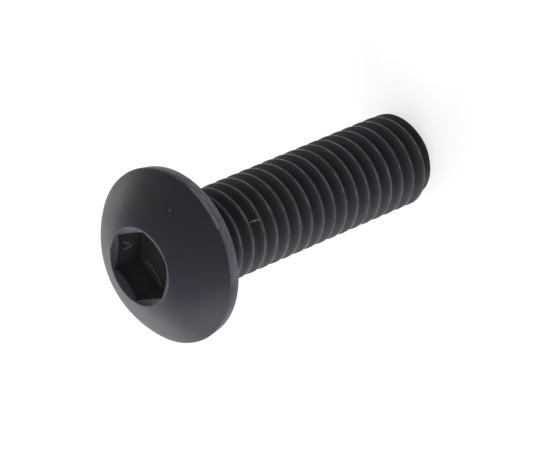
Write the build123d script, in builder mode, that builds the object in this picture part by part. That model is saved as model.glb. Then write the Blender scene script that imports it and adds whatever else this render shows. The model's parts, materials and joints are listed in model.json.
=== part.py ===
"""Hexagon socket button head screw, M6 by 20, threaded up to the head.

One cold-forged and thread-rolled piece. The frame has its origin at the centre of the bearing
face under the head, with +Z up through the head and the shank along -Z.
All sizes are in millimetres and all angles in degrees.
"""
from build123d import *
import os
from math import atan2, ceil, cos, degrees, hypot, radians, sqrt, tan

os.makedirs("parts", exist_ok=True)

# Head
head_diameter = 10.88      # at the edge between the side and the dome
head_height = 3.0          # bearing face to the plane of the socket's mouth
side_height = 0.8          # bearing face to the dome's edge
side_draft = 0.14          # how much less the side's radius is at its foot
bearing_edge_break = 0.06  # small chamfer at the foot of the side

# Hexagon socket
key_width = 4.0            # across the flats of the key
key_clearance = 0.03       # between the key and each flat
mouth_margin = 0.1         # mouth circle beyond the socket's corners
mouth_angle = 120.0        # included angle of the countersunk mouth
socket_depth = 2.25        # mouth plane to the foot of each flat, at its middle
floor_angle = 170.0        # included angle of the shallow cone in the floor
socket_turn = 0.0          # first corner, counted from +X about +Z

# Shank
shank_length = 20.0        # bearing face to the tip
thread_diameter = 6.0      # nominal
pitch = 1.0
crest_allowance = 0.07     # crest below the nominal radius
flank_angle = 60.0         # between the two flanks of a thread
tip_chamfer = 0.8          # 45 degree chamfer on the tip
neck_depth = 0.325         # neck below the nominal radius, so that it has the pitch diameter
neck_length = 1.52         # plain neck under the head, before the thread rises
neck_flare = 0.3           # 45 degree flare between the neck and the bearing face

# Thread run-out towards the head
runout_start = 2.25        # bearing face to the end of the full groove
runout_turns = 0.6         # turns over which the groove rises out of the shank
cut_margin = 0.08          # how far a cutting tool passes outside the surface that it cuts

head_radius = head_diameter / 2
nominal_radius = thread_diameter / 2
crest_radius = nominal_radius - crest_allowance
neck_radius = nominal_radius - neck_depth

# Basic profile of a metric thread: the sharp triangle's height, the groove's depth and its root
triangle_height = pitch / (2 * tan(radians(flank_angle / 2)))
groove_depth = triangle_height * 17 / 24 - crest_allowance
root_width = pitch / 8 + crest_allowance * tan(radians(flank_angle / 2))


def groove_section(height):
    """Section of the thread groove in the XZ plane, with its middle at the given height."""
    flank_rise = (groove_depth + cut_margin) * tan(radians(flank_angle / 2))
    mouth_half = root_width / 2 + flank_rise
    with BuildSketch(Plane((crest_radius, 0, height), x_dir=(1, 0, 0), z_dir=(0, 1, 0))) as section:
        with BuildLine():
            Polyline(
                (-groove_depth, -root_width / 2),
                (cut_margin, -mouth_half),
                (cut_margin, mouth_half),
                (-groove_depth, root_width / 2),
                close=True,
            )
        make_face()
    return section.sketch


# Shank: a blank of crest diameter, the groove cut turn by turn, then the neck and the chamfer
groove_top = -runout_start
groove_turns = ceil((shank_length - runout_start) / pitch) + 1
groove_foot = groove_top - groove_turns * pitch
runout_rise = runout_turns * pitch
runout_angle = degrees(atan2(groove_depth + 2 * cut_margin, runout_rise))

with BuildPart() as shank:
    Cylinder(crest_radius, shank_length, align=(Align.CENTER, Align.CENTER, Align.MAX))
    with BuildLine() as groove_path:
        for turn in range(groove_turns):
            Helix(pitch, pitch, crest_radius, center=(0, 0, groove_foot + turn * pitch))
    sweep(
        groove_section(groove_foot),
        path=groove_path.wire(),
        is_frenet=True,
        mode=Mode.SUBTRACT,
    )
    # The run-out climbs a cone, so the groove grows shallow and leaves the shank
    with BuildLine() as runout_path:
        Helix(
            pitch / cos(radians(runout_angle)),
            runout_rise,
            crest_radius,
            center=(0, 0, groove_top),
            cone_angle=runout_angle,
        )
    sweep(
        groove_section(groove_top),
        path=runout_path.wire(),
        is_frenet=True,
        mode=Mode.SUBTRACT,
    )
    # Neck: the thread rises from it at 45 degrees
    rise = crest_radius + cut_margin - neck_radius
    with BuildSketch(Plane.XZ) as neck_space:
        with BuildLine():
            Polyline(
                (neck_radius, cut_margin),
                (neck_radius, -neck_length),
                (neck_radius + rise, -neck_length - rise),
                (neck_radius + rise, cut_margin),
                close=True,
            )
        make_face()
    revolve(axis=Axis.Z, mode=Mode.SUBTRACT)
    # Tip chamfer
    with BuildSketch(Plane.XZ) as chamfer_space:
        with BuildLine():
            Polyline(
                (crest_radius - tip_chamfer - cut_margin, -shank_length - cut_margin),
                (crest_radius + cut_margin, -shank_length + tip_chamfer + cut_margin),
                (crest_radius + cut_margin, -shank_length - cut_margin),
                close=True,
            )
        make_face()
    revolve(axis=Axis.Z, mode=Mode.SUBTRACT)

# Socket: a hexagonal hole with a shallow cone for its floor and a countersunk mouth
socket_width = key_width + 2 * key_clearance
socket_corner_radius = socket_width / 2 / cos(radians(30))
mouth_radius = socket_corner_radius + mouth_margin
mouth_floor_radius = socket_width / 2 - cut_margin
mouth_depth = (mouth_radius - mouth_floor_radius) / tan(radians(mouth_angle / 2))
floor_slope = 1 / tan(radians(floor_angle / 2))
flats_foot = head_height - socket_depth
socket_reach = mouth_radius + cut_margin

with BuildPart() as socket:
    with BuildSketch(Plane.XY.offset(head_height)):
        RegularPolygon(socket_corner_radius, 6, rotation=socket_turn)
    extrude(amount=-socket_depth - socket_width * floor_slope)
    with BuildSketch(Plane.XZ):
        with BuildLine():
            Polyline(
                (0, head_height),
                (0, flats_foot - floor_slope * socket_width / 2),
                (socket_reach, flats_foot + floor_slope * (socket_reach - socket_width / 2)),
                (socket_reach, head_height),
                close=True,
            )
        make_face()
    revolve(axis=Axis.Z, mode=Mode.INTERSECT)
    with BuildSketch(Plane.XZ):
        with BuildLine():
            Polyline(
                (0, head_height),
                (mouth_radius, head_height),
                (mouth_floor_radius, head_height - mouth_depth),
                (0, head_height - mouth_depth),
                close=True,
            )
        make_face()
    revolve(axis=Axis.Z)

# Dome: an arc centred on the axis, from the mouth's edge down to the side's edge
dome_centre = (mouth_radius**2 + head_height**2 - head_radius**2 - side_height**2) / (
    2 * (head_height - side_height)
)
dome_radius = hypot(mouth_radius, head_height - dome_centre)
side_foot_radius = head_radius - side_draft

with BuildPart() as screw:
    # Head and the flare under it, turned from one profile
    with BuildSketch(Plane.XZ) as head_profile:
        with BuildLine():
            Polyline(
                (0, head_height),
                (0, -neck_flare),
                (neck_radius, -neck_flare),
                (neck_radius + neck_flare, 0),
                (side_foot_radius, 0),
                (head_radius, side_height),
            )
            dome_middle = (mouth_radius + head_radius) / 2
            ThreePointArc(
                (head_radius, side_height),
                (dome_middle, dome_centre + sqrt(dome_radius**2 - dome_middle**2)),
                (mouth_radius, head_height),
            )
            Line((mouth_radius, head_height), (0, head_height))
        make_face()
        side_foot = head_profile.vertices().sort_by_distance((side_foot_radius, 0))[0]
        chamfer(side_foot, bearing_edge_break)
    revolve(axis=Axis.Z)
    add(shank.part)

    add(socket.part, mode=Mode.SUBTRACT)

screw.part.label = "screw"
export_step(screw.part, "parts/screw.step")
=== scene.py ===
"""Visual model of a black hexagon socket button head screw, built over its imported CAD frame.

The screw is one piece. Its threaded shank is a helical surface made by a Geometry Nodes rule, its
head is turned from a profile around the hexagon socket, and the two are joined into one closed
mesh. Lengths are in millimetres until a mesh is written, and the frame is in metres.
"""
from __future__ import annotations

import json
import logging
import math
from dataclasses import asdict, dataclass
from enum import Enum
from typing import Callable, Union

import bpy
from mathutils import Matrix, Vector

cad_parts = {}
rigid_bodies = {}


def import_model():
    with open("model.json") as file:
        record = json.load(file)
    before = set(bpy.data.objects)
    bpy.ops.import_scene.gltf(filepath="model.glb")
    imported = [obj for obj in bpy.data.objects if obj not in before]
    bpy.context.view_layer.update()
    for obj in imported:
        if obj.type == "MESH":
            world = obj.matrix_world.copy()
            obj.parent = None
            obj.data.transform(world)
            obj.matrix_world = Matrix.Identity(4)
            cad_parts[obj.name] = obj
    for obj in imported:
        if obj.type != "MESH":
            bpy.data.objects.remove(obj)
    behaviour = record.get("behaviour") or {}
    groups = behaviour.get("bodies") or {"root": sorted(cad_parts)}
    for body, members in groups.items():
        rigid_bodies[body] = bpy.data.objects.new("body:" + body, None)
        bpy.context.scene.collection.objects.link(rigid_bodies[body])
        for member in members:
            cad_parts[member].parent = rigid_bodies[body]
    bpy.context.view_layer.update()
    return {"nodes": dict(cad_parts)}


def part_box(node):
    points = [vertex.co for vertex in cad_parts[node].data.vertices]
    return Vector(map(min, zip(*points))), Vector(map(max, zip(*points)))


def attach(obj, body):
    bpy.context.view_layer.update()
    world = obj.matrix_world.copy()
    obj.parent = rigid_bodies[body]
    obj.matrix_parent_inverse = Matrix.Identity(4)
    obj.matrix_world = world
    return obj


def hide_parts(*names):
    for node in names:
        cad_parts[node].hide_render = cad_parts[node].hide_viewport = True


LOG = logging.getLogger("screw")
MM = 0.001
TURN = 2 * math.pi

Socket = bpy.types.NodeSocket
# What a node's input takes: another node's output, a number or a tuple of numbers
Value = Union[Socket, float, tuple]
# A spot is a radius and a height, and a ring gives the spot in each direction about the axis
Spot = tuple[float, float]
Ring = Callable[[float], Spot]
Place = tuple[float, float, float]


@dataclass(frozen=True)
class HeadSizes:
    """Head of the screw, with heights counted up from the bearing face."""

    radius: float = 5.44
    height: float = 3.0
    side_height: float = 0.8
    side_draft: float = 0.14
    edge_break: float = 0.06

    @property
    def foot_radius(self) -> float:
        """Radius of the side at the bearing face."""
        return self.radius - self.side_draft


@dataclass(frozen=True)
class SocketSizes:
    """Hexagon socket in the head."""

    width: float = 4.06
    mouth_margin: float = 0.1
    mouth_slope: float = math.tan(math.radians(30))
    depth: float = 2.25
    floor_slope: float = 0.0875
    turn: float = 0.0

    @property
    def corner_radius(self) -> float:
        """Centre to a corner of the hexagon."""
        return self.width / 2 / math.cos(math.radians(30))

    @property
    def mouth_radius(self) -> float:
        """Rim of the countersunk mouth."""
        return self.corner_radius + self.mouth_margin

    def reach(self, angle: float) -> float:
        """Distance from the axis to the hexagon's wall.

        Args:
            angle: Direction about the axis, in radians.

        Returns:
            The distance in millimetres.
        """
        sixth = TURN / 6
        from_flat = (angle - self.turn) % sixth - sixth / 2
        return self.width / 2 / math.cos(from_flat)


@dataclass(frozen=True)
class ThreadSizes:
    """Shank and its rolled thread, with lengths counted down from the bearing face."""

    length: float = 20.0
    pitch: float = 1.0
    crest_radius: float = 2.93
    groove_depth: float = 0.5434
    root_width: float = 0.165
    flank_slope: float = math.sqrt(3)
    tip_chamfer: float = 0.8
    neck_radius: float = 2.675
    neck_length: float = 1.52
    neck_flare: float = 0.3
    runout_start: float = 2.25
    runout_turns: float = 0.6
    cut_margin: float = 0.08
    rounding: float = 0.12


class Tree:
    """Small builder for node trees, so that a rule reads from its inputs to its output."""

    # Nodes are laid out in columns: how many stand in each, and their spacing across and down
    PER_COLUMN = 6
    SPACING = (180, 160)

    def __init__(self, tree: bpy.types.NodeTree) -> None:
        """Wraps a node tree.

        Args:
            tree: The tree that new nodes go into.
        """
        self.tree = tree
        self.count = 0

    def node(self, kind: str, **settings: object) -> bpy.types.Node:
        """Adds a node.

        Args:
            kind: The node's type name.
            **settings: Properties set on the node before anything is linked to it.

        Returns:
            The new node.
        """
        made = self.tree.nodes.new(kind)
        for name, value in settings.items():
            setattr(made, name, value)
        column, row = divmod(self.count, self.PER_COLUMN)
        made.location = (column * self.SPACING[0], -row * self.SPACING[1])
        self.count += 1
        return made

    def put(self, value: Value, socket: Socket) -> None:
        """Links an output to a socket, or sets the socket's own value.

        Args:
            value: An output of another node, a number or a tuple of numbers.
            socket: The input that takes it.
        """
        if isinstance(value, Socket):
            self.tree.links.new(value, socket)
        else:
            socket.default_value = value

    def fed(self, kind: str, values: dict[str | int, Value], **settings: object) -> dict:
        """Adds a node and fills its inputs.

        Args:
            kind: The node's type name.
            values: What each input is given, by its name or its number.
            **settings: Properties set on the node before anything is linked to it.

        Returns:
            The node's outputs, by name.
        """
        made = self.node(kind, **settings)
        for label, value in values.items():
            self.put(value, made.inputs[label])
        return dict(made.outputs.items())

    def use(self, group: bpy.types.NodeTree, values: dict[str, Value]) -> dict[str, Socket]:
        """Places a shader node group, fills its inputs by name and gives its outputs."""
        return self.fed("ShaderNodeGroup", values, node_tree=group)

    def math(self, operation: str, *values: Value, clamp: bool = False) -> Socket:
        """Result of a Math node, held between zero and one if clamp is set."""
        settings = {"operation": operation, "use_clamp": clamp}
        return self.fed("ShaderNodeMath", dict(enumerate(values)), **settings)["Value"]

    def vector(self, operation: str, *values: Value) -> dict[str, Socket]:
        """Outputs of a Vector Math node: its Value where that is a number, else its Vector."""
        return self.fed("ShaderNodeVectorMath", dict(enumerate(values)), operation=operation)

    def scaled(self, vector: Socket, factor: Value) -> Socket:
        """Vector times a number."""
        values = {"Vector": vector, "Scale": factor}
        return self.fed("ShaderNodeVectorMath", values, operation="SCALE")["Vector"]

    def point(self, x: Value, y: Value, z: Value) -> Socket:
        """Vector put together from three numbers."""
        return self.fed("ShaderNodeCombineXYZ", {"X": x, "Y": y, "Z": z})["Vector"]

    def parts(self, vector: Socket) -> tuple[Socket, Socket, Socket]:
        """The X, Y and Z of a vector."""
        return tuple(self.fed("ShaderNodeSeparateXYZ", {"Vector": vector}).values())

    def hypot(self, a: Value, b: Value) -> Socket:
        """Length of the long side of a right triangle, from its short sides."""
        return self.math("SQRT", self.add(self.mul(a, a), self.mul(b, b)))

    def add(self, a: Value, b: Value) -> Socket:
        """Sum of two values."""
        return self.math("ADD", a, b)

    def sub(self, a: Value, b: Value) -> Socket:
        """Difference of two values."""
        return self.math("SUBTRACT", a, b)

    def mul(self, a: Value, b: Value) -> Socket:
        """Product of two values."""
        return self.math("MULTIPLY", a, b)

    def div(self, a: Value, b: Value) -> Socket:
        """Quotient of two values."""
        return self.math("DIVIDE", a, b)

    def highest(self, first: Value, *others: Value) -> Socket:
        """Highest of several values.

        Args:
            first: A value.
            *others: What it is compared with.

        Returns:
            The highest of them.
        """
        for other in others:
            first = self.math("MAXIMUM", first, other)
        return first

    def inverse(self, mask: Value) -> Socket:
        """One where a mask is zero, and zero where it is one."""
        return self.sub(1.0, mask)

    def ramp(
        self, value: Value, start: Value, end: Value, low: Value = 0.0, high: Value = 1.0
    ) -> Socket:
        """Maps a value smoothly from one range to another, held at both ends.

        Args:
            value: The value.
            start: Where the ramp starts.
            end: Where it ends.
            low: What it gives up to its start.
            high: What it gives from its end.

        Returns:
            The mapped value.
        """
        values = dict(enumerate((value, start, end, low, high)))
        made = self.fed("ShaderNodeMapRange", values, interpolation_type="SMOOTHSTEP")
        return made["Result"]

    def between(self, factor: Value, low: Value, high: Value) -> Socket:
        """Number that goes from low to high as a factor goes from zero to one."""
        return self.add(self.mul(factor, self.sub(high, low)), low)

    def blend(self, factor: Value, low: Value, high: Value) -> Socket:
        """Colour that goes from one to another as a factor goes from zero to one.

        Args:
            factor: The factor.
            low: Colour at zero.
            high: Colour at one.

        Returns:
            The colour.
        """
        made = self.node("ShaderNodeMix", data_type="RGBA")
        self.put(factor, made.inputs["Factor"])
        for value, label in ((low, "A"), (high, "B")):
            colour = next(i for i in made.inputs if i.name == label and i.type == "RGBA")
            self.put(value, colour)
        return next(o for o in made.outputs if o.type == "RGBA")


def new_group(name: str, kind: str, inputs: dict, outputs: dict) -> tuple[Tree, dict, dict]:
    """Starts a node group with named inputs and outputs.

    Args:
        name: The group's name.
        kind: The tree type, for shaders or geometry.
        inputs: Name of each input, with its socket type and its default value.
        outputs: Name of each output, with its socket type.

    Returns:
        The tree builder, the group's inputs by name and the sockets to fill by name.
    """
    group = bpy.data.node_groups.new(name, kind)
    for label, (socket_type, default) in inputs.items():
        made = group.interface.new_socket(label, in_out="INPUT", socket_type=socket_type)
        if default is not None:
            made.default_value = default
    for label, socket_type in outputs.items():
        group.interface.new_socket(label, in_out="OUTPUT", socket_type=socket_type)
    tree = Tree(group)
    given = tree.node("NodeGroupInput")
    wanted = tree.node("NodeGroupOutput")
    return (
        tree,
        {label: given.outputs[label] for label in inputs},
        {label: wanted.inputs[label] for label in outputs},
    )


def shader_group(
    name: str, vectors: list[str], numbers: dict[str, float], outputs: list[str]
) -> tuple[Tree, dict, dict]:
    """Starts a shader node group that puts out numbers.

    Args:
        name: The group's name.
        vectors: Names of its vector inputs.
        numbers: Names of its number inputs, with their default values.
        outputs: Names of its outputs.

    Returns:
        What new_group returns.
    """
    inputs = {label: ("NodeSocketVector", None) for label in vectors}
    inputs.update({label: ("NodeSocketFloat", value) for label, value in numbers.items()})
    wanted = {label: "NodeSocketFloat" for label in outputs}
    return new_group(name, "ShaderNodeTree", inputs, wanted)


class ThreadRule:
    """Geometry Nodes tree that grows the threaded shank and joins it to the head."""

    COLUMNS = 192
    ROWS_PER_PITCH = 18
    # How strongly rows crowd together at crests and roots, where they would touch at one
    CROWDING = 0.6
    # Points of the shank and the head that are closer than this are the same
    WELD_GAP = 0.0004

    def __init__(self, sizes: ThreadSizes, phase: float) -> None:
        """Keeps the sizes.

        Args:
            sizes: Sizes of the shank and its thread.
            phase: Angle of the first column about the axis, which the head shares.
        """
        self.sizes = sizes
        self.phase = phase

    def inputs(self) -> dict[str, float]:
        """Named inputs of the tree: a size called crest_radius is its Crest Radius.

        Returns:
            The value that this screw gives to each.
        """
        sizes = asdict(self.sizes).items()
        named = {name.replace("_", " ").title(): size for name, size in sizes}
        return dict(named, Phase=self.phase)

    def rows(self) -> int:
        """Rows of the grid that reach past the tip in every column.

        Returns:
            The number of rows.
        """
        s = self.sizes
        # Row 0 starts above the bearing face, and ends a pitch higher than it starts
        above = math.ceil(s.runout_start / s.pitch) * s.pitch - s.runout_start
        return math.ceil((s.length + s.pitch + above) / s.pitch * self.ROWS_PER_PITCH)

    def build(self) -> bpy.types.NodeTree:
        """Builds the tree.

        Returns:
            The geometry node group.
        """
        sockets = {"Head": ("NodeSocketGeometry", None), "Material": ("NodeSocketMaterial", None)}
        sockets.update({name: ("NodeSocketFloat", v) for name, v in self.inputs().items()})
        tree, given, wanted = new_group(
            "threaded_shank", "GeometryNodeTree", sockets, {"Screw": "NodeSocketGeometry"}
        )
        rows = self.rows()
        pitches = rows / self.ROWS_PER_PITCH
        counts = {"Vertices X": self.COLUMNS + 1, "Vertices Y": rows + 1}
        grid = tree.fed("GeometryNodeMeshGrid", {**counts, "Size X": 1, "Size Y": pitches})
        x, y, _ = tree.parts(tree.node("GeometryNodeInputPosition").outputs[0])
        around = tree.add(x, 0.5)
        down = tree.sub(pitches / 2, y)
        # The profile turns twice in each pitch, at its crest and at its root
        wave = tree.math("SINE", tree.mul(down, 2 * TURN))
        turns = tree.add(down, tree.mul(wave, -self.CROWDING / (2 * TURN)))
        angle = tree.add(tree.mul(around, TURN), given["Phase"])
        height = self.height_of(tree, given, turns, around)
        radius = self.radius_of(tree, given, height, around)
        spot = tree.point(
            tree.mul(tree.mul(radius, tree.math("COSINE", angle)), MM),
            tree.mul(tree.mul(radius, tree.math("SINE", angle)), MM),
            tree.mul(height, MM),
        )
        bent = tree.fed("GeometryNodeSetPosition", {"Geometry": grid["Mesh"], "Position": spot})
        self.finish(tree, bent["Geometry"], given, wanted)
        return tree.tree

    def height_of(self, tree: Tree, given: dict, turns: Socket, around: Socket) -> Socket:
        """Height of a grid point: rows follow the helix and stop at both ends of the shank.

        Args:
            tree: The tree builder.
            given: The tree's inputs by name.
            turns: Pitches from row 0 down to the point.
            around: Share of a turn from the first column to the point.

        Returns:
            The height, zero at the bearing face and negative below it.
        """
        # Row 0 is whole pitches above the groove's middle at the end of the full groove
        rise = tree.mul(tree.sub(around, turns), given["Pitch"])
        start = tree.sub(rise, given["Runout Start"])
        whole = tree.math("CEIL", tree.div(given["Runout Start"], given["Pitch"]))
        lifted = tree.add(start, tree.mul(whole, given["Pitch"]))
        floor = tree.mul(given["Length"], -1.0)
        return tree.math("MINIMUM", tree.highest(lifted, floor), 0.0)

    def radius_of(self, tree: Tree, given: dict, height: Socket, around: Socket) -> Socket:
        """Radius of a grid point, from the thread's profile, its run-out, the neck and the tip.

        Args:
            tree: The tree builder.
            given: The tree's inputs by name.
            height: Height of the point.
            around: Share of a turn from the first column to the point.

        Returns:
            The radius.
        """
        pitch = given["Pitch"]
        climbed = tree.div(tree.add(height, given["Runout Start"]), pitch)
        helix = tree.sub(climbed, around)
        nearest = tree.math("ROUND", helix)
        across = tree.mul(tree.math("ABSOLUTE", tree.sub(helix, nearest)), pitch)
        # Turns past the end of the full groove, over which the cutting path leaves the shank
        past = tree.highest(tree.sub(tree.add(nearest, around), 1.0), 0.0)
        full_rise = tree.add(given["Groove Depth"], tree.mul(given["Cut Margin"], 2.0))
        lift = tree.div(tree.mul(past, full_rise), given["Runout Turns"])
        root = tree.sub(given["Crest Radius"], given["Groove Depth"])
        beyond = tree.sub(across, tree.mul(given["Root Width"], 0.5))
        flank = tree.add(root, tree.mul(beyond, given["Flank Slope"]))
        cut = tree.add(tree.math("SMOOTH_MAX", root, flank, given["Rounding"]), lift)
        thread = tree.math("SMOOTH_MIN", cut, given["Crest Radius"], given["Rounding"])
        below_neck = tree.sub(tree.mul(given["Neck Length"], -1.0), height)
        neck = tree.add(given["Neck Radius"], tree.highest(below_neck, 0.0))
        thread = tree.math("SMOOTH_MIN", thread, neck, given["Rounding"])
        flare = tree.add(tree.add(given["Neck Radius"], given["Neck Flare"]), height)
        above_tip = tree.add(height, given["Length"])
        tip = tree.add(tree.sub(given["Crest Radius"], given["Tip Chamfer"]), above_tip)
        return tree.math("MINIMUM", tree.highest(thread, flare), tip)

    def finish(self, tree: Tree, shank: Socket, given: dict, wanted: dict) -> None:
        """Joins the shank and the head, welds their seams and sets the finish.

        Args:
            tree: The tree builder.
            shank: The bent grid.
            given: The tree's inputs by name.
            wanted: The tree's outputs by name.
        """
        join = tree.node("GeometryNodeJoinGeometry")
        tree.put(given["Head"], join.inputs[0])
        tree.put(shank, join.inputs[0])
        real = tree.fed("GeometryNodeRealizeInstances", {"Geometry": join.outputs[0]})["Geometry"]
        values = {"Geometry": real, "Distance": self.WELD_GAP * MM}
        weld = tree.fed("GeometryNodeMergeByDistance", values)["Geometry"]
        values = {"Geometry": weld, "Material": given["Material"]}
        tree.put(tree.fed("GeometryNodeSetMaterial", values)["Geometry"], wanted["Screw"])


class HeadMesh:
    """Head, socket and tip disc as rings of points round the axis."""

    # Plain rings on the bearing face, and how close its other rings stand to its two edges
    BEARING_RINGS = (3.6, 4.4)
    FLARE_GAP = 0.02
    FOOT_GAP = 0.04
    # Rings on the dome, and how far they stay off its ends, as angles about its centre
    DOME_RINGS = 26
    DOME_LEAD = 0.03
    DOME_GAP = 0.05
    # Reach of the small roundings at the dome's edge and at the mouth's rim
    EDGE_BEND = 0.07
    MOUTH_BEND = 0.05
    # Rings on the countersink, by how far inside its rim, and how far they stay off the flats
    CONE_INSETS = (0.07, 0.12, 0.25, 1.0)
    FLAT_GAP = 0.012
    # Rings on the flats, by drop from the countersink and by lift from the floor
    WALL_DROPS = (0.012, 0.05, 0.3)
    FOOT_LIFTS = (1.3, 0.6, 0.06)
    # Lift and inset of the rings that round the foot of the flats
    FOOT_BEND = ((0.018, 0.003), (0.003, 0.018))
    # Rings on the floor and on the tip, by share of the way from the axis to their edge
    FLOOR_SHARES = (0.965, 0.93, 0.75, 0.5, 0.25)
    TIP_SHARES = (1, 0.96, 0.6, 0.3)

    def __init__(self, head: HeadSizes, socket: SocketSizes, thread: ThreadSizes) -> None:
        """Keeps the sizes.

        Args:
            head: Sizes of the head.
            socket: Sizes of the hexagon socket.
            thread: Sizes of the shank, which the bearing face and the tip meet.
        """
        self.head = head
        self.socket = socket
        self.thread = thread
        self.vertices: list[Place] = []
        self.faces: list[tuple[int, ...]] = []

    @staticmethod
    def circle(radius: float, height: float) -> Ring:
        """Round ring."""
        return lambda angle: (radius, height)

    @staticmethod
    def bend(corner: Spot, back: Spot, ahead: Spot, reach: float, steps: int = 4) -> list[Spot]:
        """Points of a small rounding in place of a corner of the profile.

        Args:
            corner: The corner.
            back: Direction from the corner towards the profile's earlier part.
            ahead: Direction from the corner towards its later part.
            reach: How far from the corner the rounding starts and ends.
            steps: Number of straight pieces in the rounding.

        Returns:
            Points from the earlier part to the later one.
        """
        start = [c + reach * d / math.hypot(*back) for c, d in zip(corner, back)]
        end = [c + reach * d / math.hypot(*ahead) for c, d in zip(corner, ahead)]
        points = []
        for step in range(steps + 1):
            share = step / steps
            weights = ((1 - share) ** 2, 2 * share * (1 - share), share**2)
            ways = (start, corner, end)
            points.append(tuple(sum(w * p[i] for w, p in zip(weights, ways)) for i in (0, 1)))
        return points

    def outside(self) -> list[Ring]:
        """Rings from the bearing face's inner edge, up the side and over the dome.

        Returns:
            The rings in order.
        """
        h = self.head
        inner = self.thread.neck_radius + self.thread.neck_flare
        outer = h.foot_radius - h.edge_break
        bearing = (inner, inner + self.FLARE_GAP, *self.BEARING_RINGS)
        profile = [(radius, 0) for radius in (*bearing, outer - self.FOOT_GAP, outer)]
        # No ring between this one and the dome's edge, so that smooth normals round the side
        break_rise = h.side_draft * h.edge_break / h.side_height
        profile.append((h.foot_radius + break_rise, h.edge_break))
        return [self.circle(*spot) for spot in profile + self.dome()]

    def dome(self) -> list[Spot]:
        """Profile from the side's top edge, over the dome and into the mouth.

        Returns:
            Radius and height of each ring.
        """
        h, mouth = self.head, self.socket.mouth_radius
        centre = (mouth**2 + h.height**2 - h.radius**2 - h.side_height**2) / (
            2 * (h.height - h.side_height)
        )
        radius = math.hypot(mouth, h.height - centre)
        edge_turn = math.atan2(h.side_height - centre, h.radius)
        mouth_turn = math.atan2(h.height - centre, mouth)
        down_side = (-h.side_draft, -h.side_height)
        up_dome = (-math.sin(edge_turn), math.cos(edge_turn))
        profile = self.bend((h.radius, h.side_height), down_side, up_dome, self.EDGE_BEND, 1)
        sweep = mouth_turn - self.DOME_GAP - edge_turn
        for i in range(1, self.DOME_RINGS + 1):
            turn = edge_turn + self.DOME_LEAD + sweep * i / (self.DOME_RINGS + 1)
            profile.append((radius * math.cos(turn), centre + radius * math.sin(turn)))
        down_dome = (math.sin(mouth_turn), -math.cos(mouth_turn))
        into_mouth = (-1, -self.socket.mouth_slope)
        return profile + self.bend((mouth, h.height), down_dome, into_mouth, self.MOUTH_BEND)

    def cone_height(self, radius: float) -> float:
        """Height of the countersink at a radius."""
        return self.head.height - self.socket.mouth_slope * (self.socket.mouth_radius - radius)

    def floor_height(self, radius: float) -> float:
        """Height of the socket's floor at a radius, level with the flats' foot at their middle."""
        s = self.socket
        return self.head.height - s.depth + s.floor_slope * (radius - s.width / 2)

    def cone(self, inset: float) -> Ring:
        """Ring on the countersink.

        Args:
            inset: How far inside its rim the ring lies, where the flats leave room for it.

        Returns:
            The ring.
        """
        s = self.socket

        def ring(angle: float) -> Spot:
            """Radius and height of the ring in one direction."""
            radius = max(s.reach(angle) + self.FLAT_GAP, s.mouth_radius - inset)
            return radius, self.cone_height(radius)

        return ring

    def wall(self, drop: float) -> Ring:
        """Ring on the flats, by its drop below the edge where the countersink meets them."""
        reach = self.socket.reach
        return lambda angle: (reach(angle), self.cone_height(reach(angle)) - drop)

    def foot(self, lift: float, inset: float = 0.0) -> Ring:
        """Ring near the foot of the flats, by its lift above the floor and its inset."""
        reach = self.socket.reach
        return lambda angle: (reach(angle) - inset, self.floor_height(reach(angle)) + lift)

    def floor(self, share: float) -> Ring:
        """Ring on the shallow cone of the floor, at a share of the way out to the flats."""
        reach = self.socket.reach
        return lambda angle: (reach(angle) * share, self.floor_height(reach(angle) * share))

    def inside(self) -> list[Ring]:
        """Rings from the mouth's rim, down the countersink and the flats, to the floor.

        Returns:
            The rings in order.
        """
        rings = [self.cone(inset) for inset in self.CONE_INSETS]
        rings += [self.wall(drop) for drop in self.WALL_DROPS]
        rings += [self.foot(lift) for lift in self.FOOT_LIFTS]
        rings += [self.foot(lift, inset) for lift, inset in self.FOOT_BEND]
        return rings + [self.floor(share) for share in self.FLOOR_SHARES]

    def tip(self) -> list[Ring]:
        """Rings of the flat end, from its edge inwards."""
        edge = self.thread.crest_radius - self.thread.tip_chamfer
        return [self.circle(edge * share, -self.thread.length) for share in self.TIP_SHARES]

    def lay(self, rings: list[Ring], centre_height: float, outward: bool) -> None:
        """Adds rings and closes them at the axis.

        Args:
            rings: Ring rules, in order, the last one next to the axis.
            centre_height: Height of the point on the axis.
            outward: Whether the face order given by the rings looks outward.
        """
        base, n = len(self.vertices), ThreadRule.COLUMNS
        for ring in rings:
            for column in range(n):
                angle = self.socket.turn + TURN * column / n
                radius, height = ring(angle)
                spot = (radius * math.cos(angle), radius * math.sin(angle), height)
                self.vertices.append(tuple(x * MM for x in spot))
        self.vertices.append((0, 0, centre_height * MM))
        apex = len(self.vertices) - 1
        for i in range(len(rings)):
            row, above = base + i * n, base + (i + 1) * n
            for j in range(n):
                k = (j + 1) % n
                end = (apex,) if above == apex else (above + k, above + j)
                face = (row + j, row + k, *end)
                self.faces.append(face if outward else face[::-1])

    def build(self) -> bpy.types.Mesh:
        """Writes the mesh.

        Returns:
            The mesh, open where the shank joins it.
        """
        self.lay(self.outside() + self.inside(), self.floor_height(0), True)
        self.lay(self.tip(), -self.thread.length, False)
        mesh = bpy.data.meshes.new("head")
        mesh.from_pydata(self.vertices, [], self.faces)
        mesh.update()
        return mesh


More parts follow.
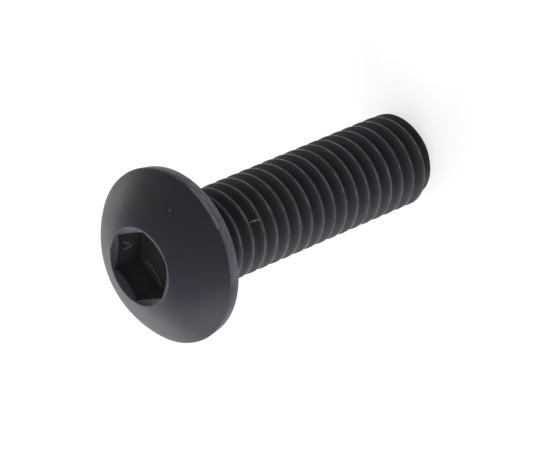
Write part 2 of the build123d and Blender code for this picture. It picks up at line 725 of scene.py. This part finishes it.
class OxideGroups:
    """Shader node groups shared by the screw's finish."""

    # Scales of the softer grain and of the specks, as shares of the fine grain's, and how much
    # of the fine grain's height is kept
    SOFT_SHARE = 0.22
    SPECK_SHARE = 0.45
    FINE_WEIGHT = 0.6
    # Detail and roughness of the noise behind each effect
    FINE_NOISE = (3.0, 0.7)
    SOFT_NOISE = (2.0, 0.6)
    SPECK_NOISE = (4.0, 0.75)
    WEAR_NOISE = (5.0, 0.7)
    # Share of a mark's width, and of the crests' rubbed and highlighted depth, that is at full
    # strength
    MARK_CORE = 0.3
    CREST_CORE = 0.25
    # Ramps that turn noise into masks: where each starts and ends, and what it then gives
    PATCH_RAMP = (0.38, 0.62)
    SPECK_RAMP = (0.68, 0.76)
    EDGE_RAMP = (0.36, 0.62)
    CREST_RAMP = (0.34, 0.66, 0.25, 1.0)
    SCUFF_RAMP = (0.4, 0.66, 0.3, 1.0)
    # Scales of the noise that breaks up worn edges, the crests' wear and painted highlight, and
    # scuffs
    EDGE_SCALE = 2.2
    CREST_SCALE = 1.1
    SCUFF_SCALE = 2.4
    # Radius of the circle that the scuffs' noise is read on, and how fast it is read up the side
    SCUFF_ROUND = 4.0
    SCUFF_UP = 9.0
    # Heights over which the scuffs fade at the side's foot and top, and the crests' wear and
    # painted highlight below its upper end
    SCUFF_FOOT = 0.08
    SCUFF_TOP = 0.05
    CREST_FADE = 0.2

    @staticmethod
    def noise(tree: Tree, vector: Socket, scale: Value, detail: float, rough: float) -> Socket:
        """Adds a Noise texture.

        Args:
            tree: The tree builder.
            vector: Where the noise is read.
            scale: Its scale.
            detail: How many finer layers it has.
            rough: How strong those are.

        Returns:
            The noise's factor.
        """
        values = {"Vector": vector, "Scale": scale, "Detail": detail, "Roughness": rough}
        return tree.fed("ShaderNodeTexNoise", values)["Fac"]

    @staticmethod
    def near(tree: Tree, distance: Socket, width: Socket, core: float) -> Socket:
        """Mask that is one up to a share of the width, the core, and zero past the width."""
        return tree.inverse(tree.ramp(tree.div(distance, width), core, 1.0))

    @classmethod
    def grain(cls) -> bpy.types.NodeTree:
        """Satin grain of a blackened surface: a fine height, broad patches and specks.

        Returns:
            The node group.
        """
        tree, given, wanted = shader_group(
            "satin_grain",
            ["Vector"],
            {"Grain Scale": 14.0, "Patch Scale": 0.35},
            ["Height", "Patches", "Specks"],
        )
        vector, scale = given["Vector"], given["Grain Scale"]
        fine = cls.noise(tree, vector, scale, *cls.FINE_NOISE)
        soft = cls.noise(tree, vector, tree.mul(scale, cls.SOFT_SHARE), *cls.SOFT_NOISE)
        tree.put(tree.add(tree.mul(fine, cls.FINE_WEIGHT), soft), wanted["Height"])
        patches = cls.noise(tree, vector, given["Patch Scale"], *cls.SOFT_NOISE)
        tree.put(tree.ramp(patches, *cls.PATCH_RAMP), wanted["Patches"])
        dots = cls.noise(tree, vector, tree.mul(scale, cls.SPECK_SHARE), *cls.SPECK_NOISE)
        tree.put(tree.ramp(dots, *cls.SPECK_RAMP), wanted["Specks"])
        return tree.tree

    @classmethod
    def ring_wear(cls) -> bpy.types.NodeTree:
        """Wear along a round edge: a mask that fades with the distance from a circle.

        Returns:
            The node group.
        """
        tree, given, wanted = shader_group(
            "ring_wear",
            ["Vector"],
            {"Radius": 5.0, "Height": 0.0, "Width": 0.1, "Breakup": 0.5},
            ["Mask"],
        )
        x, y, z = tree.parts(given["Vector"])
        off = tree.sub(tree.hypot(x, y), given["Radius"])
        away = tree.hypot(off, tree.sub(z, given["Height"]))
        broken = cls.noise(tree, given["Vector"], cls.EDGE_SCALE, *cls.WEAR_NOISE)
        patchy = tree.ramp(broken, *cls.EDGE_RAMP)
        kept = tree.between(given["Breakup"], 1.0, patchy)
        close = cls.near(tree, away, given["Width"], cls.MARK_CORE)
        tree.put(tree.mul(close, kept), wanted["Mask"])
        return tree.tree

    @classmethod
    def crest_wear_and_highlight(cls) -> bpy.types.NodeTree:
        """Rubbed thread crests, also painted lighter as the highlight along each crest: a mask of
        what stands near the crest radius on the shank.

        Returns:
            The node group.
        """
        tree, given, wanted = shader_group(
            "crest_wear_and_highlight",
            ["Vector"],
            {"Crest Radius": 3.0, "Depth": 0.05, "Top": -1.0},
            ["Mask"],
        )
        x, y, z = tree.parts(given["Vector"])
        below = tree.sub(given["Crest Radius"], tree.hypot(x, y))
        high = cls.near(tree, below, given["Depth"], cls.CREST_CORE)
        fade = tree.ramp(z, tree.sub(given["Top"], cls.CREST_FADE), given["Top"])
        broken = cls.noise(tree, given["Vector"], cls.CREST_SCALE, *cls.WEAR_NOISE)
        patchy = tree.ramp(broken, *cls.CREST_RAMP)
        tree.put(tree.mul(tree.mul(high, tree.inverse(fade)), patchy), wanted["Mask"])
        return tree.tree

    @classmethod
    def stroke(cls) -> bpy.types.NodeTree:
        """One mark: a mask that fades with the distance from a straight line.

        Returns:
            The node group.
        """
        tree, given, wanted = shader_group(
            "stroke", ["Vector", "Start", "End"], {"Width": 0.05}, ["Mask"]
        )
        along = tree.vector("SUBTRACT", given["End"], given["Start"])["Vector"]
        away = tree.vector("SUBTRACT", given["Vector"], given["Start"])["Vector"]
        reached = tree.vector("DOT_PRODUCT", away, along)["Value"]
        length = tree.vector("DOT_PRODUCT", along, along)["Value"]
        share = tree.math("DIVIDE", reached, length, clamp=True)
        gap = tree.vector("DISTANCE", away, tree.scaled(along, share))["Value"]
        tree.put(cls.near(tree, gap, given["Width"], cls.MARK_CORE), wanted["Mask"])
        return tree.tree

    @classmethod
    def side_scuffs(cls) -> bpy.types.NodeTree:
        """Fine scuffs that run round the side of the head.

        Returns:
            The node group.
        """
        tree, given, wanted = shader_group(
            "side_scuffs", ["Vector"], {"Low": 0.0, "High": 1.0, "Radius": 5.0}, ["Mask"]
        )
        x, y, z = tree.parts(given["Vector"])
        outside = tree.math("GREATER_THAN", tree.hypot(x, y), given["Radius"])
        level = tree.mul(
            tree.ramp(z, given["Low"], tree.add(given["Low"], cls.SCUFF_FOOT)),
            tree.inverse(tree.ramp(z, tree.sub(given["High"], cls.SCUFF_TOP), given["High"])),
        )
        turn = tree.math("ARCTAN2", y, x)
        spot = tree.point(
            tree.mul(tree.math("SINE", turn), cls.SCUFF_ROUND),
            tree.mul(tree.math("COSINE", turn), cls.SCUFF_ROUND),
            tree.mul(z, cls.SCUFF_UP),
        )
        streaks = cls.noise(tree, spot, cls.SCUFF_SCALE, *cls.WEAR_NOISE)
        lines = tree.ramp(streaks, *cls.SCUFF_RAMP)
        tree.put(tree.mul(tree.mul(outside, level), lines), wanted["Mask"])
        return tree.tree


@dataclass(frozen=True)
class Tone:
    """Colour and surface of one state of the finish."""

    colour: tuple[float, float, float]
    roughness: float
    metal: float

    @property
    def rgba(self) -> tuple[float, float, float, float]:
        """Colour with a full alpha."""
        return (*self.colour, 1.0)


class Oxide(Enum):
    """States of the black oxide, from sound to rubbed; the socket's state is lighter as painted
    light, and the rubbed and bare states also paint highlights.
    """

    COOL = Tone((0.0225, 0.0222, 0.0325), 0.42, 0.05)
    WARM = Tone((0.0290, 0.0232, 0.0270), 0.45, 0.05)
    SHANK = Tone((0.0215, 0.0230, 0.0285), 0.42, 0.05)
    # Lighter tone painted in the socket, standing in for light that reaches into it
    SOCKET = Tone((0.0490, 0.0495, 0.0480), 0.50, 0.05)
    # Rubbed metal, also used to paint highlight lines on the crests and a highlight patch on the
    # side
    RUBBED = Tone((0.1580, 0.1560, 0.1900), 0.38, 0.6)
    # Bare steel of the scratches, also used to paint glints and highlight lines
    BARE = Tone((0.5600, 0.5500, 0.5300), 0.30, 0.9)


@dataclass(frozen=True)
class Mark:
    """Scratch, rub, stain or painted highlight along a straight line, in millimetres from the
    origin.
    """

    start: Place
    end: Place
    width: float
    strength: float


@dataclass(frozen=True)
class EdgeWear:
    """Wear along one round edge, and how much of it is broken up."""

    radius: float
    height: float
    width: float
    breakup: float
    strength: float


class Finish:
    """Black oxide on steel, with light wear on crests and edges, painted highlights on the crests,
    the side, the dome's edge and in the socket, and a lighter tone painted in the socket as light.
    """

    SCRATCHES = (
        # Painted glint: two bright strokes on a wall of the socket
        Mark((-1.99, -0.62, 2.29), (-1.74, -1.04, 1.61), 0.06, 1.0),
        Mark((-1.74, -1.04, 1.61), (-1.73, -1.07, 2.23), 0.06, 1.0),
        # Painted highlight: bright line on the socket's floor along the foot of a flat
        Mark((-0.83, -1.84, 0.75), (-0.48, -1.73, 0.73), 0.06, 0.25),
        Mark((-0.48, -1.73, 0.73), (0.27, -1.72, 0.72), 0.06, 0.35),
        Mark((0.27, -1.72, 0.72), (0.89, -1.88, 0.75), 0.06, 0.35),
        # Faint line where the countersink meets a flat
        Mark((-1.06, -2.03, 2.82), (-0.52, -2.03, 2.71), 0.06, 0.12),
        Mark((-0.52, -2.03, 2.71), (0.08, -2.03, 2.68), 0.06, 0.18),
        Mark((0.08, -2.03, 2.68), (1.02, -2.03, 2.80), 0.06, 0.15),
        # Speck on the dome
        Mark((-1.19, 4.04, 2.01), (-1.06, 4.03, 2.05), 0.05, 0.15),
        # Nick across a thread flank, brighter at its middle
        Mark((0.88, 2.28, -4.18), (1.07, 2.71, -4.48), 0.05, 0.4),
        Mark((0.94, 2.44, -4.28), (0.98, 2.52, -4.34), 0.08, 0.7),
        # Painted highlight on a stretch of the dome's edge
        Mark((-1.41, 5.25, 0.80), (-0.47, 5.42, 0.80), 0.10, 0.12),
        Mark((-0.47, 5.42, 0.80), (0.47, 5.42, 0.80), 0.13, 0.15),
        Mark((0.47, 5.42, 0.80), (1.41, 5.25, 0.80), 0.12, 0.15),
    )
    # Rubbed patch of the side, where the scuffs are strongest and also paint a highlight, and what
    # share of its scuffs the rest of the side has
    RUB = Mark((-0.8, 5.3, 0.4), (3.6, 3.9, 0.3), 2.0, 1.0)
    SCUFFS_ELSEWHERE = 0.45
    # Browner spot on the dome, how brown the broad patches are and how worn the specks are
    STAIN = Mark((-3.6, 2.4, 2.0), (-2.6, 3.4, 2.1), 1.6, 0.8)
    PATCH_BROWN = 0.6
    SPECK_WEAR = 0.08
    # Wear on the crests, also painted as their highlight line: its depth, its strength and how far
    # below the run-out it starts
    CREST_DEPTH = 0.02
    CREST_STRENGTH = 0.6
    CREST_START = 0.15
    # Heights between which the shank's tone turns into the head's
    SHANK_FADE = (-1.0, -0.1)
    # Lighter tone painted in the socket, standing in for light that reaches into it: depths below
    # the mouth where it is full and where it ends, its lowest height, and how far past the
    # hexagon's corners it reaches
    SOCKET_FADE = (1.5, 0.3)
    SOCKET_FOOT = 0.2
    SOCKET_MARGIN = 0.02
    # How strongly the oxide mirrors, and the strength and height of its grain
    SPECULAR = 0.14
    GRAIN_STRENGTH = 0.3
    GRAIN_HEIGHT = 0.012

    def __init__(self, thread: ThreadSizes, head: HeadSizes, socket: SocketSizes) -> None:
        """Keeps the sizes that place the wear and the painted highlights, and builds the group
        that every mark uses.

        Args:
            thread: Sizes of the shank.
            head: Sizes of the head.
            socket: Sizes of the socket, whose rim is rubbed.
        """
        self.thread = thread
        self.head = head
        self.socket = socket
        self.stroke = OxideGroups.stroke()

    def edges(self) -> tuple[EdgeWear, ...]:
        """Worn edges: the dome's, the mouth's and the side's foot.

        Returns:
            The wear of each.
        """
        h = self.head
        return (
            EdgeWear(h.radius, h.side_height, width=0.07, breakup=0.5, strength=0.5),
            EdgeWear(self.socket.mouth_radius, h.height, width=0.06, breakup=0.8, strength=0.4),
            EdgeWear(h.foot_radius, 0.0, width=0.14, breakup=0.5, strength=0.75),
        )

    def wear(self, tree: Tree, vector: Socket) -> Socket:
        """Puts the wear on edges, crests and side into one mask, with the highlights painted on
        the crests and the side.

        Args:
            tree: The material's tree builder.
            vector: Place on the screw, in millimetres.

        Returns:
            The mask.
        """
        h, t = self.head, self.thread
        group = OxideGroups.ring_wear()
        masks = []
        for edge in self.edges():
            values = {
                "Vector": vector,
                "Radius": edge.radius,
                "Height": edge.height,
                "Width": edge.width,
                "Breakup": edge.breakup,
            }
            masks.append(tree.mul(tree.use(group, values)["Mask"], edge.strength))
        values = {
            "Vector": vector,
            "Crest Radius": t.crest_radius,
            "Depth": self.CREST_DEPTH,
            "Top": -t.runout_start - self.CREST_START,
        }
        crest = tree.use(OxideGroups.crest_wear_and_highlight(), values)
        masks.append(tree.mul(crest["Mask"], self.CREST_STRENGTH))
        values = {
            "Vector": vector,
            "Low": 0.0,
            "High": h.side_height,
            "Radius": h.radius - 2 * h.side_draft,
        }
        scuffs = tree.use(OxideGroups.side_scuffs(), values)
        # The rubbed patch paints a highlight on the side as well as stronger scuffs
        rubbed_and_highlight = tree.highest(self.mark(tree, vector, self.RUB), self.SCUFFS_ELSEWHERE)
        masks.append(tree.mul(scuffs["Mask"], rubbed_and_highlight))
        return tree.highest(*masks)

    def mark(self, tree: Tree, vector: Socket, mark: Mark) -> Socket:
        """Mask of one mark.

        Args:
            tree: The material's tree builder.
            vector: Place on the screw, in millimetres.
            mark: The mark.

        Returns:
            The mask, as strong as the mark.
        """
        values = {"Vector": vector, "Start": mark.start, "End": mark.end, "Width": mark.width}
        return tree.mul(tree.use(self.stroke, values)["Mask"], mark.strength)

    def on_shank(self, tree: Tree, vector: Socket) -> Socket:
        """One on the shank, fading to zero at the bearing face."""
        return tree.inverse(tree.ramp(tree.parts(vector)[2], *self.SHANK_FADE))

    def in_socket(self, tree: Tree, vector: Socket) -> Socket:
        """One on the walls and the floor of the socket, else zero.

        Args:
            tree: The material's tree builder.
            vector: Place on the screw, in millimetres.

        Returns:
            The mask.
        """
        x, y, z = tree.parts(vector)
        reach = self.socket.corner_radius + self.SOCKET_MARGIN
        inner = tree.math("LESS_THAN", tree.hypot(x, y), reach)
        start, end = (self.head.height - depth for depth in self.SOCKET_FADE)
        deep = tree.inverse(tree.ramp(z, start, end))
        above = tree.math("GREATER_THAN", z, self.SOCKET_FOOT)
        return tree.mul(tree.mul(inner, deep), above)

    def build(self) -> bpy.types.Material:
        """Builds the material.

        Returns:
            The material.
        """
        material = bpy.data.materials.new("black_oxide")
        material.use_nodes = True
        tree = Tree(material.node_tree)
        shader = material.node_tree.nodes["Principled BSDF"]
        place = tree.node("ShaderNodeTexCoord").outputs["Object"]
        vector = tree.scaled(place, 1 / MM)
        grain = tree.use(OxideGroups.grain(), {"Vector": vector})
        cool, warm, shank, socket, rubbed_and_highlight, bare_and_glint = (state.value for state in Oxide)
        specks = tree.mul(grain["Specks"], self.SPECK_WEAR)
        wear = tree.highest(self.wear(tree, vector), specks)
        # Scratches, with the painted glints and highlight lines in the socket and on the dome's
        # edge
        cuts_and_glints = tree.highest(*(self.mark(tree, vector, cut) for cut in self.SCRATCHES))
        patches = grain["Patches"]
        stain = self.mark(tree, vector, self.STAIN)
        brown = tree.highest(tree.mul(patches, self.PATCH_BROWN), stain)

        colour = tree.blend(self.on_shank(tree, vector), cool.rgba, shank.rgba)
        colour = tree.blend(brown, colour, warm.rgba)
        # Lighter tone painted on the socket's walls and floor, standing in for light that reaches
        # into it
        colour = tree.blend(self.in_socket(tree, vector), colour, socket.rgba)
        # Rubbed edges and crests, with painted highlights along the crests and on a patch of the
        # side
        colour = tree.blend(wear, colour, rubbed_and_highlight.rgba)
        # Bare steel for the scratches, also painting the glints and highlight lines
        tree.put(tree.blend(cuts_and_glints, colour, bare_and_glint.rgba), shader.inputs["Base Color"])
        rough = tree.between(patches, cool.roughness, warm.roughness)
        rough = tree.between(wear, rough, rubbed_and_highlight.roughness)
        tree.put(tree.between(cuts_and_glints, rough, bare_and_glint.roughness), shader.inputs["Roughness"])
        metal = tree.between(wear, cool.metal, rubbed_and_highlight.metal)
        tree.put(tree.between(cuts_and_glints, metal, bare_and_glint.metal), shader.inputs["Metallic"])
        tree.put(self.SPECULAR, shader.inputs["Specular IOR Level"])
        values = {
            "Strength": self.GRAIN_STRENGTH,
            "Distance": self.GRAIN_HEIGHT * MM,
            "Height": grain["Height"],
        }
        tree.put(tree.fed("ShaderNodeBump", values)["Normal"], shader.inputs["Normal"])
        return material


class Screw:
    """The whole screw as one visual piece."""

    # Edges sharper than this, in degrees, keep a crease
    CREASE = 42

    def __init__(self, low: Vector, high: Vector) -> None:
        """Reads the outer sizes from the CAD box.

        Args:
            low: Lowest corner of the CAD node, in metres.
            high: Highest corner of the CAD node, in metres.
        """
        radius = min(high.x, high.y, -low.x, -low.y) / MM
        self.head = HeadSizes(radius=radius, height=high.z / MM)
        self.socket = SocketSizes()
        self.thread = ThreadSizes(length=-low.z / MM)

    def mesh(self, material: bpy.types.Material) -> bpy.types.Mesh:
        """Grows the shank on the head and keeps the result as a plain mesh.

        Args:
            material: The finish of the whole screw.

        Returns:
            The mesh.
        """
        head = HeadMesh(self.head, self.socket, self.thread).build()
        maker = bpy.data.objects.new("head_maker", head)
        bpy.context.scene.collection.objects.link(maker)
        rule = ThreadRule(self.thread, self.socket.turn)
        modifier = maker.modifiers.new("shank", "NODES")
        modifier.node_group = rule.build()
        values = dict(rule.inputs(), Material=material)
        for item in modifier.node_group.interface.items_tree:
            if item.in_out == "INPUT" and item.name in values:
                modifier[item.identifier] = values[item.name]
        grown = maker.evaluated_get(bpy.context.evaluated_depsgraph_get())
        plain = bpy.data.meshes.new_from_object(grown)
        bpy.data.objects.remove(maker)
        return plain

    def build(self) -> bpy.types.Object:
        """Builds the piece.

        Returns:
            Its object.
        """
        mesh = self.mesh(Finish(self.thread, self.head, self.socket).build())
        mesh.name = "screw_body"
        mesh.shade_smooth()
        mesh.set_sharp_from_angle(angle=math.radians(self.CREASE))
        piece = bpy.data.objects.new("screw_body", mesh)
        bpy.context.scene.collection.objects.link(piece)
        LOG.info("screw_body: %d faces", len(mesh.polygons))
        return piece


@dataclass(frozen=True)
class Shot:
    """Camera of the photograph, fitted to the outline of the screw."""

    tilt: float = 0.8588
    roll: float = 0.4026
    distance: float = 250.0
    pixels_per_mm: float = 16.946
    origin_px: tuple[float, float] = (175.25, 251.8)
    image: tuple[int, int] = (540, 450)
    azimuth: float = math.radians(72)
    sensor_width: float = 36.0
    clip: tuple[float, float] = (0.01, 10.0)

    def axes(self) -> tuple[Vector, Vector]:
        """Level directions that the shot is laid out on.

        Returns:
            The direction to the camera's side of the screw, and the one across it.
        """
        toward_side = Vector((math.cos(self.azimuth), math.sin(self.azimuth), 0))
        across = Vector((-math.sin(self.azimuth), math.cos(self.azimuth), 0))
        return toward_side, across

    def view(self) -> tuple[Vector, Vector, Vector]:
        """Directions of the camera.

        Returns:
            Its right, its up and the direction from the screw towards it.
        """
        toward_side, across = self.axes()
        axis = Vector((0, 0, 1))
        ct, st = math.cos(self.tilt), math.sin(self.tilt)
        cr, sr = math.cos(self.roll), math.sin(self.roll)
        right = ct * cr * toward_side - sr * across - st * cr * axis
        up = ct * sr * toward_side + cr * across - st * sr * axis
        return right, up, st * toward_side + ct * axis

    def build(self) -> None:
        """Makes the camera, placed so that the origin falls on its pixel."""
        right, up, toward = self.view()
        x = (self.origin_px[0] - self.image[0] / 2) / self.pixels_per_mm
        y = (self.image[1] / 2 - self.origin_px[1]) / self.pixels_per_mm
        spot = (-x * right - y * up + self.distance * toward) * MM
        data = bpy.data.cameras.new("camera")
        data.sensor_width = self.sensor_width
        data.lens = self.pixels_per_mm * self.distance * self.sensor_width / self.image[0]
        data.clip_start, data.clip_end = self.clip
        camera = bpy.data.objects.new("camera", data)
        turn = Matrix((right, up, toward)).transposed()
        camera.matrix_world = Matrix.Translation(spot) @ turn.to_4x4()
        bpy.context.scene.collection.objects.link(camera)
        bpy.context.scene.camera = camera


@dataclass(frozen=True)
class Lamp:
    """Soft square lamp that looks at the screw."""

    name: str
    # Direction from the screw: to the camera's side, across and up
    way: Place
    distance: float
    size: float
    watts: float


class Studio:
    """Pale floor, plain soft light and a white background."""

    LAMPS = (
        Lamp("key", (-0.85, -0.16, 0.25), 300, 360, 1.05),
        Lamp("side", (-0.84, 0.62, 0.06), 300, 120, 0.14),
        Lamp("fill", (-0.08, -1.00, 0.16), 320, 340, 1.45),
    )
    # Half the floor's side, in metres, and how much light it scatters and adds where it is seen
    FLOOR_REACH = 0.6
    FLOOR_GREY = 0.35
    FLOOR_GLOW = 0.7
    # The floor lies this far under the tip, so that the two don't share a plane
    FLOOR_GAP = 0.02
    # Strength of the white world as a light, and where it is seen
    WORLD_LIGHT = 0.6
    WORLD_SEEN = 1.0

    def __init__(self, shot: Shot) -> None:
        """Keeps the camera's direction, which the lamps are placed from.

        Args:
            shot: The camera of the photograph.
        """
        self.shot = shot

    @staticmethod
    def seen(tree: Tree) -> Socket:
        """One where the camera, a reflection or a refraction looks, else zero.

        Args:
            tree: The tree builder of the floor's material or of the world.

        Returns:
            The mask.
        """
        rays = tree.node("ShaderNodeLightPath").outputs
        kinds = ("Is Camera Ray", "Is Glossy Ray", "Is Transmission Ray")
        return tree.highest(*(rays[kind] for kind in kinds))

    def floor(self, height: float) -> None:
        """Makes the floor under the screw.

        Args:
            height: Its height, in metres.
        """
        side = self.FLOOR_REACH
        mesh = bpy.data.meshes.new("floor")
        corners = [(-side, -side), (side, -side), (side, side), (-side, side)]
        mesh.from_pydata([(x, y, height) for x, y in corners], [], [(0, 1, 2, 3)])
        floor = bpy.data.objects.new("floor", mesh)
        bpy.context.scene.collection.objects.link(floor)
        material = bpy.data.materials.new("floor")
        material.use_nodes = True
        nodes = material.node_tree.nodes
        nodes.remove(nodes["Principled BSDF"])
        tree = Tree(material.node_tree)
        grey = self.FLOOR_GREY
        matt = tree.fed("ShaderNodeBsdfDiffuse", {"Color": (grey, grey, grey, 1)})["BSDF"]
        glow = tree.mul(self.seen(tree), self.FLOOR_GLOW)
        white = tree.fed("ShaderNodeEmission", {"Strength": glow})["Emission"]
        both = tree.fed("ShaderNodeAddShader", {0: matt, 1: white})["Shader"]
        tree.put(both, nodes["Material Output"].inputs["Surface"])
        mesh.materials.append(material)

    def world(self) -> None:
        """White background for what is seen, and softer light for the rest."""
        world = bpy.data.worlds.new("studio")
        world.use_nodes = True
        bpy.context.scene.world = world
        tree = Tree(world.node_tree)
        background = world.node_tree.nodes["Background"]
        tree.put((1, 1, 1, 1), background.inputs["Color"])
        strength = tree.between(self.seen(tree), self.WORLD_LIGHT, self.WORLD_SEEN)
        tree.put(strength, background.inputs["Strength"])

    def light(self, lamp: Lamp) -> None:
        """Adds a lamp.

        Args:
            lamp: The lamp.
        """
        data = bpy.data.lights.new(lamp.name, "AREA")
        data.shape = "SQUARE"
        data.size = lamp.size * MM
        data.energy = lamp.watts
        made = bpy.data.objects.new(lamp.name, data)
        side, across = self.shot.axes()
        spot = lamp.way[0] * side + lamp.way[1] * across + Vector((0, 0, lamp.way[2]))
        spot = spot.normalized() * lamp.distance * MM
        look = (-spot).to_track_quat("-Z", "Y")
        made.matrix_world = Matrix.Translation(spot) @ look.to_matrix().to_4x4()
        bpy.context.scene.collection.objects.link(made)

    def build(self, tip: float) -> None:
        """Builds the whole studio.

        Args:
            tip: Height of the screw's tip, in metres.
        """
        self.floor(tip - self.FLOOR_GAP * MM)
        self.world()
        for lamp in self.LAMPS:
            self.light(lamp)


def main() -> None:
    """Builds the scene."""
    logging.basicConfig(level=logging.INFO, format="%(name)s %(message)s")
    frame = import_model()
    low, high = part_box("screw")
    LOG.info("frame nodes: %s", sorted(frame["nodes"]))
    piece = Screw(low, high).build()
    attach(piece, "root")
    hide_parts("screw")
    shot = Shot()
    shot.build()
    Studio(shot).build(low.z)
    bpy.context.scene.view_settings.view_transform = "Standard"


if __name__ == "__main__":
    main()
